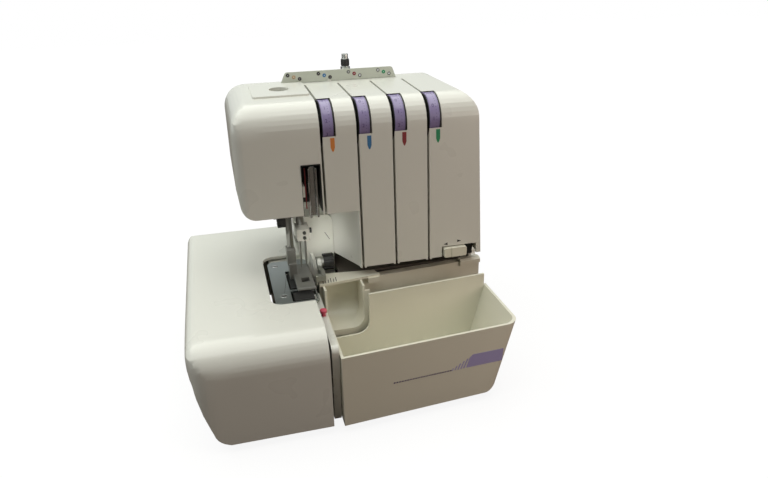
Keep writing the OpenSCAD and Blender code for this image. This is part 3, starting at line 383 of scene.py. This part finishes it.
# ---------------------------------------------------------------- geometry nodes
def ring_tree(name):
    """A node group that repeats a small box in a ring about Z, each box turned outwards."""
    tree = bpy.data.node_groups.new(name, "GeometryNodeTree")
    face = tree.interface
    face.new_socket("Geometry", in_out="INPUT", socket_type="NodeSocketGeometry")
    count = face.new_socket("Count", in_out="INPUT", socket_type="NodeSocketInt")
    reach = face.new_socket("Reach", in_out="INPUT", socket_type="NodeSocketFloat")
    size = face.new_socket("Size", in_out="INPUT", socket_type="NodeSocketVector")
    paint = face.new_socket("Paint", in_out="INPUT", socket_type="NodeSocketMaterial")
    face.new_socket("Geometry", in_out="OUTPUT", socket_type="NodeSocketGeometry")
    new, link = tree.nodes.new, tree.links.new
    inputs, output = new("NodeGroupInput"), new("NodeGroupOutput")
    cube = new("GeometryNodeMeshCube")
    spread = new("GeometryNodeInstanceOnPoints")
    circle = new("GeometryNodeMeshCircle")
    place = new("GeometryNodeInputPosition")
    turn = new("FunctionNodeAlignEulerToVector")
    turn.axis = "X"
    real = new("GeometryNodeRealizeInstances")
    coat = new("GeometryNodeSetMaterial")
    link(inputs.outputs["Size"], cube.inputs["Size"])
    link(inputs.outputs["Count"], circle.inputs["Vertices"])
    link(inputs.outputs["Reach"], circle.inputs["Radius"])
    link(place.outputs[0], turn.inputs["Vector"])
    link(circle.outputs[0], spread.inputs["Points"])
    link(turn.outputs[0], spread.inputs["Rotation"])
    link(cube.outputs[0], spread.inputs["Instance"])
    link(spread.outputs[0], real.inputs[0])
    link(real.outputs[0], coat.inputs["Geometry"])
    link(inputs.outputs["Paint"], coat.inputs["Material"])
    link(coat.outputs[0], output.inputs[0])
    return tree, {"count": count, "reach": reach, "size": size, "paint": paint}


RING = ring_tree("ring_of_ribs")


def ring_of_ribs(count, reach, size, paint, move):
    """Runs the ring tree and returns its plain mesh, moved by a matrix."""
    tree, names = RING
    obj = bpy.data.objects.new("repeat", bpy.data.meshes.new("repeat"))
    bpy.context.collection.objects.link(obj)
    mod = obj.modifiers.new("repeat", "NODES")
    mod.node_group = tree
    mod[names["count"].identifier] = count
    mod[names["reach"].identifier] = reach * MM
    mod[names["size"].identifier] = tuple(s * MM for s in size)
    mod[names["paint"].identifier] = paint
    mesh = baked(obj)
    mesh.transform(move)
    return mesh


ALONG_X = Matrix.Rotation(math.radians(90), 4, "Y")

# ---------------------------------------------------------------- softened forms
# the width of each node's rounded edges
WIDTHS = {
    "front_casing": 0.7, "rear_casing": 0.8, "side_cover": 0.6, "table_partition": 1.2,
    "extension_table": 1.1, "waste_tray": 0.9, "front_cover": 0.8, "waste_chute": 0.5,
    "machine_frame": 1.2, "stitch_selector": 0.7,
    "handwheel": 0.8, "spool_stand": 0.8, "needle_plate": 0.35, "presser_foot": 0.5, "needle_clamp": 0.5,
    "upper_knife": 0.4, "take_up_guide": 0.4, "stitch_length_dial": 0.6, "lifter_lever": 0.6,
    "power_switch": 0.6, "power_inlet": 0.3, "cone_holders": 0.3, "pole_middle": 0.3, "release_button": 0.5,
    "lower_knife": 0.2, "head_bottom_plate": 0.3, "thread_cutter": 0.6, "motor": 0.8, "driven_pulley": 0.4,
    "thread_guide_plate": 0.25, "frame_shelf": 0.5, "base_plate": 0.5, "knife_knob": 0.4,
    "rubber_feet": 0.4, "table_feet": 0.4, "pressure_screw": 0.4, "needle_plate_screws": 0.15,
}
# corners where three large fillets meet, each with the reach of its easing
CORNERS = {"front_casing": [((-73, 11, 257), 30)], "extension_table": [((-129, -99, 90), 34)]}
for node, width in WIDTHS.items():
    form = softened(frame["nodes"][node].data, width * MM, CORNERS.get(node, ()))
    add_piece(node + "_form", form, BODY_OF[node], SLOT_OF[node], PAINTED.get(node), (node,))

# ---------------------------------------------------------------- tension dials
SLOT_PITCH = 33.0
DIAL_Y, DIAL_Z, DIAL_R = 26.0, 240.0, 21.5
# from the slot to the dial's left side, and from there to the middles of its digits and of its ticks
DIAL_LEFT, DIGITS_IN, TICKS_IN = 1.5, 3.9, 6.6
# the printed band lies this far under the dial's two rims
BAND_DEPTH = 0.4
DIGIT_HEIGHT, TICKS = 4.6, 44
TICK_SIZE = (0.16, 0.30, 0.9)
# degrees from one digit to the next, and from level to the first digit of each dial
DIGIT_STEP = -33.0
FIRST_DIGIT = (84, 66, 60, 36)


def digits(name, origin, radius, start, height):
    """The digits 0 to 9 round a rim, upright where they face the front, as thin printed shapes."""
    work = bmesh.new()
    for n in range(10):
        curve = bpy.data.curves.new("digit", "FONT")
        curve.body = str(n)
        curve.size = height * MM
        curve.align_x = "CENTER"
        curve.align_y = "CENTER"
        curve.extrude = 0.06 * MM
        obj = bpy.data.objects.new("digit", curve)
        bpy.context.collection.objects.link(obj)
        mesh = baked(obj)
        # the font lies in XY: stand it up to face -Y, then turn it round the axis
        mesh.transform(Matrix.Rotation(math.radians(90), 4, "X"))
        mesh.transform(Matrix.Translation((0, -radius * MM, 0)))
        mesh.transform(Matrix.Rotation(math.radians(-start - DIGIT_STEP * n), 4, "X"))
        mesh.transform(Matrix.Translation(origin))
        work.from_mesh(mesh)
        bpy.data.meshes.remove(mesh)
    return from_bmesh(name, work)


def tension_dial(i):
    """A purple rim with its printed band, on a dark core that shows as a line at both sides."""
    x0 = SLOT_PITCH * i + DIAL_LEFT
    r = DIAL_R
    band = r - BAND_DEPTH
    hub = at(x0, DIAL_Y, DIAL_Z)
    body = f"tension_dial_{i + 1}"
    rim = [(0.3, r - 2.4), (0.3, r - 0.35), (0.6, r), (1.0, r), (1.3, band), (8.7, band), (9.0, r), (9.4, r),
           (9.7, r - 0.35), (9.7, r - 2.4)]
    add_piece(body + "_rim", lathe(body + "_rim", rim, hub), body, "purple_plastic", None, (body,))
    core = [(0.0, 3.05), (0.0, 8.0), (1.2, 8.8), (1.2, r - 4.0), (0.0, r - 3.2), (0.0, r - 1.4),
            (0.3, r - 1.1), (0.3, r - 2.4), (9.7, r - 2.4), (9.7, r - 0.7), (10.3, r - 0.4), (10.8, r - 0.9),
            (10.8, r - 3.2), (9.6, r - 4.0), (9.6, 8.8), (10.8, 8.0), (10.8, 3.05)]
    add_piece(body + "_core", lathe(body + "_core", core, hub), body, "dark_plastic", None, (body,))
    middle = at(x0 + DIGITS_IN, DIAL_Y, DIAL_Z)
    numbers = digits(body + "_numbers", middle, band, FIRST_DIGIT[i], DIGIT_HEIGHT)
    add_piece(body + "_numbers", numbers, body, "dark_plastic", DIAL_INK)
    round_dial = Matrix.Translation(at(x0 + TICKS_IN, DIAL_Y, DIAL_Z)) @ ALONG_X
    ticks = ring_of_ribs(TICKS, band, TICK_SIZE, DIAL_INK, round_dial)
    add_piece(body + "_ticks", ticks, body, "dark_plastic", DIAL_INK)


for i in range(4):
    tension_dial(i)

# ---------------------------------------------------------------- printed marks
# the panels' front leans back from its foot
FACE_FOOT = 103.7
LEAN = math.tan(math.radians(2.3))
FACE_OUT = Vector((0, -1, LEAN)).normalized()


def on_face(x, z):
    return at(x, (z - FACE_FOOT) * LEAN, z)


def print_marks(name, shapes, point, normal, body, slot, material, thick=0.08):
    """Thin printed shapes on a face, where point() turns two sizes into a place on it."""
    work = bmesh.new()
    for shape in shapes:
        slab(work, [point(*c) for c in shape], normal, thick)
    return add_piece(name, from_bmesh(name, work, 20.0), body, slot, material)


# the upper left corner of each thread mark, a nib that narrows at its foot
MARK_SPOTS = ((7.8, 231.2), (41.4, 230.6), (74.2, 231.2), (106.6, 231.2))
MARK_WIDTH, MARK_SIDE, MARK_LENGTH = 3.9, 8.6, 12.8
NIB_DROP, NIB_IN = 3.0, 1.0


def thread_mark(colour, x0, z0):
    x1 = x0 + MARK_WIDTH
    side, nib = z0 - MARK_SIDE, z0 - MARK_SIDE - NIB_DROP
    shape = [(x0, z0), (x1, z0), (x1, side), (x1 - NIB_IN, nib), (x0 + MARK_WIDTH / 2, z0 - MARK_LENGTH),
             (x0 + NIB_IN, nib), (x0, side)]
    name = f"thread_mark_{colour}"
    print_marks(name, [shape], on_face, FACE_OUT, "machine_body", "red_plastic", MARKS[colour])


for colour, spot in zip(MARKS, MARK_SPOTS):
    thread_mark(colour, *spot)

left_arrow = [(118.2, 115.3), (118.2, 118.1), (114.0, 116.6)]
right_arrow = [(128.2, 117.2), (132.5, 118.4), (128.2, 119.9)]
arrows = [left_arrow, right_arrow]
print_marks("selector_arrows", arrows, on_face, FACE_OUT, "machine_body", "dark_plastic", INK_AND_SHADE)

# the tray's front sweeps back to the right from its left corner
TRAY_LEFT, TRAY_FRONT = -11.7, -107.7
SWEEP = math.radians(4.4)
TRAY_OUT = Vector((math.sin(SWEEP), -math.cos(SWEEP), 0))


def on_tray(x, z):
    return at(x, TRAY_FRONT + (x - TRAY_LEFT) * math.tan(SWEEP), z)


BAND_LOW, BAND_HIGH = 40.1, 52.6
STRIPE_RIGHT, STRIPE_STEP, STRIPES = 98.2, 2.7, 5
DASH_LEFT, DASH_STEP, DASHES = 33, 2.5, 22


def slanted(x, width, high):
    """One upright stripe of the tray's print, leaning like the end of its band."""
    lean = 0.42 * (high - BAND_LOW)
    return [(x, BAND_LOW), (x + width, BAND_LOW), (x + width + lean, high), (x + lean, high)]


band = [[(101.3, BAND_LOW), (137.1, 39.7), (138.0, 52.1), (107.6, BAND_HIGH), (104.4, 49.6)]]
band += [slanted(STRIPE_RIGHT - STRIPE_STEP * k, 1.5 - 0.12 * k, 49.2 - 1.7 * k) for k in range(STRIPES)]
print_marks("tray_stripes", band, on_tray, TRAY_OUT, "waste_tray", "purple_plastic", STRIPE)


def dash(x):
    """One slanted dash of the line that runs left from the band."""
    low = 40.2 - 0.004 * (x - 32)
    return [(x, low), (x + 1.5, low), (x + 1.8, low + 1.3), (x + 0.3, low + 1.3)]


dashes = [dash(DASH_LEFT + DASH_STEP * k) for k in range(DASHES)]
print_marks("tray_dashes", dashes, on_tray, TRAY_OUT, "waste_tray", "purple_plastic", DIAL_INK)

# ---------------------------------------------------------------- thread guide plate
GUIDE_Y, GUIDE_FOOT, GUIDE_HEIGHT = 103.5, 264.5, 10.5
# four groups of three holes, each hole lower than the one before it by a share of the plate's height
FIRST_HOLE, GROUP_STEP, HOLE_STEP = -14.5, 30.6, 5.8
HOLE_HIGH, HOLE_DROP = 0.72, 0.19
BLACK_BORE, GREY_BORE, COLOUR_BORE = 0.25, 0.55, 0.3
EYELET_INK = plastic("eyelet_grey", (0.20, 0.21, 0.20), 0.4, grain=0.1)
BEIGE = plastic("eyelet_beige", (0.50, 0.36, 0.22), 0.4, grain=0.1)


def eyelet(i, j, paint, bore):
    """A lined thread hole; the bore is the radius that stays open."""
    x = FIRST_HOLE + i * GROUP_STEP + j * HOLE_STEP
    z = GUIDE_FOOT + GUIDE_HEIGHT * (HOLE_HIGH - HOLE_DROP * j)
    profile = [(-0.35, bore), (-0.35, 1.5), (-0.12, 1.85), (0.05, 1.85), (0.05, bore)]
    ring = lathe("eyelet", profile, at(x, GUIDE_Y, z), "Y", 32)
    add_piece(f"eyelet_{i + 1}_{j + 1}", ring, "machine_body", "dark_plastic", paint)


# The middle hole of each group has its thread's colour. The others are black in the two groups at the left,
# and grey in the two at the right. The black rings are real, and their small bore fills the hole with black
# as painted shade.
for i, colour in enumerate(MARKS):
    outer, bore = (INK_AND_SHADE, BLACK_BORE) if i < 2 else (EYELET_INK, GREY_BORE)
    eyelet(i, 0, outer, bore)
    eyelet(i, 1, BEIGE if i == 0 else MARKS[colour], COLOUR_BORE)
    eyelet(i, 2, outer, bore)

# ---------------------------------------------------------------- pole collar
POLE_X, POLE_Y = 51, 141
COLLAR_FOOT, COLLAR_TOP, COLLAR_BORE, COLLAR_R = 272.6, 280.0, 3.0, 4.3
KNURLS, KNURL_SIZE, KNURL_Z = 26, (0.35, 0.4, 5.2), 276.2

outline = [(COLLAR_FOOT, COLLAR_BORE), (COLLAR_FOOT, COLLAR_R - 0.3), (COLLAR_FOOT + 0.4, COLLAR_R),
           (COLLAR_TOP - 0.6, COLLAR_R), (COLLAR_TOP, COLLAR_R - 0.4), (COLLAR_TOP, COLLAR_BORE)]
collar = lathe("pole_collar", outline, at(POLE_X, POLE_Y, 0), "Z", 40)
add_piece("pole_collar", collar, "pole_middle", "dark_plastic")
on_collar = Matrix.Translation(at(POLE_X, POLE_Y, KNURL_Z))
knurls = ring_of_ribs(KNURLS, COLLAR_R, KNURL_SIZE, MATERIALS["dark_plastic"], on_collar)
add_piece("pole_knurls", knurls, "pole_middle", "dark_plastic")

# ---------------------------------------------------------------- small marks and trim
FRONT, UP = Vector((0, -1, 0)), Vector((0, 0, 1))
NECK_FRONT, PLATE_TOP, SCREW_TOP, LEDGE_TOP = 43, 94, 93.75, 94
PLATE_SCREWS = ((-48.3, 47), (-46.7, -19))
CAP_SPOT = (26.5, 104.7, 264.2)
SCALE_LINES, SCALE_STEP = 6, 2.6


def on_front(y):
    return lambda x, z: at(x, y, z)


def on_top(z):
    return lambda x, y: at(x, y, z)


def stroke(a, b, width):
    """A thin four-cornered line between two points."""
    run = Vector((b[0] - a[0], b[1] - a[1])).normalized() * width / 2
    return [(a[0] - run.y, a[1] + run.x), (b[0] - run.y, b[1] + run.x), (b[0] + run.y, b[1] - run.x),
            (a[0] + run.y, a[1] - run.x)]


def scale_line(k):
    """One line of the ledge's scale; every second one is longer."""
    x, y = -8 + SCALE_STEP * k, 0.3 * k
    return stroke((x, y - 4.8), (x + 0.8, y + 1.6 + 2.6 * (k % 2)), 0.7)


def body_mark(name, line, point, normal, material, thick):
    print_marks(name, line, point, normal, "machine_body", "dark_plastic", material, thick)


# a thin dark grey line drawn on the neck's front
body_mark("neck_tick", [stroke((3.6, 126.5), (8.2, 118.5), 0.7)], on_front(NECK_FRONT), FRONT, NECK_LINE_GREY, 0.08)
body_mark("plate_seam", [stroke((-45.5, -13), (-39.5, 22), 0.35)], on_top(PLATE_TOP), UP, INK_AND_SHADE, 0.03)
# black strokes in the screw slots stand for the shade in them: painted shade
screw_slot_shade = [stroke((x - 2.4, y), (x + 2.4, y + 0.8), 0.9) for x, y in PLATE_SCREWS]
body_mark("plate_screw_slot_shade", screw_slot_shade, on_top(SCREW_TOP), UP, INK_AND_SHADE, 0.4)
scale = [scale_line(k) for k in range(SCALE_LINES)]
print_marks("ledge_scale", scale, on_top(LEDGE_TOP), UP, "front_cover", "dark_plastic", INK_AND_SHADE, 0.04)

cap_outline = [(-0.3, 0.4), (-0.3, 2.6), (0.9, 2.6), (1.3, 2.1), (1.4, 0.4)]
cap = lathe("top_cap", cap_outline, at(*CAP_SPOT), "Z", 32)
add_piece("top_cap", cap, "machine_body", "body_white")

# the take-up opening: dark sheets behind, at both sides and over it, painted shade for the inside of the
# opening, and the red finger inside
OPENING_LEFT, OPENING_RIGHT = -20.2, -2.6
OPENING_FRONT, OPENING_BACK = 3.4, 33
OPENING_FOOT, OPENING_TOP = 164, 208.6
shade_sheets = bmesh.new()
block(shade_sheets, (OPENING_LEFT, OPENING_BACK, OPENING_FOOT), (OPENING_RIGHT, OPENING_BACK + 0.6, OPENING_TOP))
for side in (OPENING_LEFT - 0.1, OPENING_RIGHT - 0.4):
    block(shade_sheets, (side, OPENING_FRONT, OPENING_FOOT), (side + 0.4, OPENING_BACK, OPENING_TOP))
lintel = (OPENING_RIGHT, OPENING_BACK, OPENING_TOP + 0.1)
block(shade_sheets, (OPENING_LEFT, OPENING_FRONT, OPENING_TOP - 0.4), lintel)
add_piece("take_up_shade_sheets", from_bmesh("take_up_shade_sheets", shade_sheets), "machine_body", "dark_plastic")
finger = bmesh.new()
block(finger, (-16.3, 14, OPENING_FOOT), (-15.4, 16, 203))
add_piece("take_up_finger", from_bmesh("take_up_finger", finger), "machine_body", "red_plastic", MARKS["red"])

# ---------------------------------------------------------------- floor and light
# Metres, as the lamps are. The camera sees mostly glow, so the floor is as white as the world; the rest of
# what it sees is lit, which keeps a faint shadow, and fades out away from the machine.
FLOOR_HALF = 3.0
GLOW_SHARE = 0.87
FADE_SLOPE, FADE_START = 3.0, 0.15
FLOOR_BOUNCE = (0.12, 0.095, 0.080, 1)


def floor_look():
    """White to the camera, and a dim warm table for the light that the machine gets back from below."""
    s = Shader("floor")
    s.set(Base_Color=(0.95, 0.95, 0.95, 1), Roughness=0.9, Specular_IOR_Level=0.0)
    path = s.add("ShaderNodeLightPath", {}, {})
    glow = s.add("ShaderNodeEmission", {}, {"Color": (1, 1, 1, 1), "Strength": 1.03})
    x, y = s.axis("X"), s.axis("Y")
    faded = ((x * x + y * y) * FADE_SLOPE - FADE_START).clamp() * (1.0 - GLOW_SHARE) + GLOW_SHARE
    seen = s.add("ShaderNodeMixShader", {}, {0: faded, 1: s.bsdf.outputs[0], 2: glow.outputs[0]})
    bounce = s.add("ShaderNodeBsdfDiffuse", {}, {"Color": FLOOR_BOUNCE})
    shaders = {0: path.outputs["Is Camera Ray"], 1: bounce.outputs[0], 2: seen.outputs[0]}
    both = s.add("ShaderNodeMixShader", {}, shaders)
    surface = next(n for n in s.tree.nodes if n.type == "OUTPUT_MATERIAL")
    s.feed(surface.inputs["Surface"], both.outputs[0])
    return s.mat


def make_floor():
    work = bmesh.new()
    for x, y in ((-1, -1), (1, -1), (1, 1), (-1, 1)):
        work.verts.new((x * FLOOR_HALF, y * FLOOR_HALF, 0))
    work.faces.new(work.verts)
    mesh = from_bmesh("floor", work)
    floor = bpy.data.objects.new("floor", mesh)
    bpy.context.collection.objects.link(floor)
    mesh.materials.append(floor_look())


ROOM, ROOM_STRENGTH = (1.0, 0.86, 0.76, 1), 0.08
SHEEN, SHEEN_STRENGTH = (0.96, 1.0, 0.97, 1), 0.60


def make_world():
    """White behind the machine, a pale sheen in what shines, and a dim warm room for the rest."""
    world = bpy.data.worlds.new("studio")
    bpy.context.scene.world = world
    world.use_nodes = True
    tree = world.node_tree
    room = tree.nodes["Background"]
    room.inputs["Color"].default_value = ROOM
    room.inputs["Strength"].default_value = ROOM_STRENGTH
    white = tree.nodes.new("ShaderNodeBackground")
    rays = tree.nodes.new("ShaderNodeLightPath")
    camera_mix = tree.nodes.new("ShaderNodeMixShader")
    sheen = tree.nodes.new("ShaderNodeBackground")
    sheen.inputs["Color"].default_value = SHEEN
    sheen.inputs["Strength"].default_value = SHEEN_STRENGTH
    lit_mix = tree.nodes.new("ShaderNodeMixShader")
    tree.links.new(rays.outputs["Is Glossy Ray"], lit_mix.inputs[0])
    tree.links.new(room.outputs[0], lit_mix.inputs[1])
    tree.links.new(sheen.outputs[0], lit_mix.inputs[2])
    tree.links.new(rays.outputs["Is Camera Ray"], camera_mix.inputs[0])
    tree.links.new(lit_mix.outputs[0], camera_mix.inputs[1])
    tree.links.new(white.outputs[0], camera_mix.inputs[2])
    white.inputs["Color"].default_value = (1, 1, 1, 1)
    out = next(n for n in tree.nodes if n.type == "OUTPUT_WORLD")
    tree.links.new(camera_mix.outputs[0], out.inputs["Surface"])


def lamp(name, place, aim, size, power, colour, spread=180):
    """A square lamp at a place, turned to its aim; spread is the angle of its light in degrees."""
    data = bpy.data.lights.new(name, "AREA")
    data.size = size
    data.spread = math.radians(spread)
    data.energy = power
    data.color = colour
    obj = bpy.data.objects.new(name, data)
    bpy.context.collection.objects.link(obj)
    obj.location = place
    obj.rotation_euler = (Vector(aim) - Vector(place)).to_track_quat("-Z", "Y").to_euler()


make_floor()
make_world()
# three room lamps placed in metres, and two small ones that light the space round the needles
lamp("ceiling", (-0.35, 0.34, 1.45), (-0.35, 0.34, 0.0), 2.2, 34.0, (0.97, 1.0, 0.95))
lamp("window", (-1.15, 0.10, 0.48), (0.0, 0.0, 0.12), 0.6, 1.7, (0.95, 1.0, 1.0))
lamp("fill", (0.50, -0.46, 0.32), (0.06, 0.0, 0.14), 0.35, 1.15, (1.0, 0.83, 0.72))
lamp("recess", at(-26, -46, 152), at(1, 43, 118), 0.03, 0.0042, (1.0, 0.99, 0.93), 44)
lamp("under_head", at(-34, 26, 146), at(20, 46, 112), 0.06, 0.005, (1.0, 0.99, 0.92))
